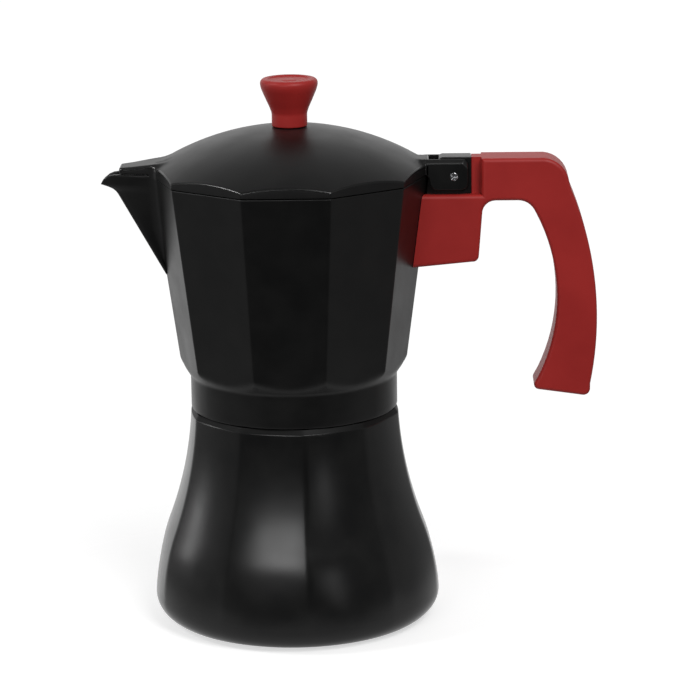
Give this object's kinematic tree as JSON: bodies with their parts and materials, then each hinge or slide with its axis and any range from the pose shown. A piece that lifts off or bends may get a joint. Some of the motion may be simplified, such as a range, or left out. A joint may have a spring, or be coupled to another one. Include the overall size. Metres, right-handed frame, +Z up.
{
  "type": "moka pot",
  "caption": "Faceted stovetop coffee maker with bell-shaped boiler, screw-on upper chamber with spout, hinged domed lid, side handle and lift-out funnel.",
  "frame": {"origin": "centre of the flat underside, where the part stands on a stove or table", "axes": "+Z up along the axis of the pot, +X towards the handle, -X towards the spout, +Y towards the safety valve at the back"},
  "size_m": [0.1876, 0.1102, 0.2095],
  "materials": {
    "coated_aluminium": "black satin stove-proof coating over cast aluminium",
    "bare_aluminium": "bare, finely turned",
    "base_steel": "turned with fine rings",
    "steel": "plain",
    "brass": "machined",
    "washer_copper": "soft copper sealing ring",
    "seal_rubber": "food-safe silicone",
    "red_plastic": "moulded, satin, fine grain"
  },
  "bodies": {
    "base": {"boiler": "coated_aluminium", "base_disc": "base_steel", "valve_body": "brass", "valve_washer": "washer_copper", "valve_retainer": "brass", "valve_spring": "steel"},
    "plunger": {"valve_plunger": "brass"},
    "coffee_funnel": {"funnel": "bare_aluminium", "funnel_tube": "bare_aluminium", "funnel_filter": "bare_aluminium"},
    "seal": {"gasket": "seal_rubber"},
    "plate": {"filter_plate": "bare_aluminium"},
    "upper": {"upper_chamber": "coated_aluminium", "column": "bare_aluminium", "handle": "red_plastic", "handle_screw": "steel", "handle_washer": "steel"},
    "cover": {"lid": "coated_aluminium", "hinge_pin": "steel", "knob": "red_plastic", "knob_washer": "steel", "knob_screw": "steel"}
  },
  "joints": [
    {"name": "valve_relief", "type": "slide", "parent": "base", "child": "plunger", "axis": [0, 1, 0], "range_m": [0, 0.002], "stiffness_N_per_m": 600, "deforming": ["valve_spring"]},
    {"name": "funnel_lift", "type": "slide", "parent": "base", "child": "coffee_funnel", "axis": [0, 0, 1], "range_m": [0, 0.095]},
    {"name": "upper_lift", "type": "slide", "parent": "coffee_funnel", "child": "seal", "axis": [0, 0, 1], "range_m": [0, 0.06]},
    {"name": "thread_lift", "type": "slide", "parent": "seal", "child": "plate", "axis": [0, 0, 1], "range_m": [0, 0.0061]},
    {"name": "unscrew", "type": "hinge", "parent": "plate", "child": "upper", "pos_m": [0, 0, 0.09], "axis": [0, 0, 1], "range_deg": [0, 720]},
    {"name": "lid_hinge", "type": "hinge", "parent": "upper", "child": "cover", "pos_m": [0.0616, 0, 0.1726], "axis": [0, 1, 0], "range_deg": [0, 104]}
  ],
  "couplings": [
    {"joint": "thread_lift", "follows": "unscrew", "m_per_rad": 0.00047746}
  ]
}
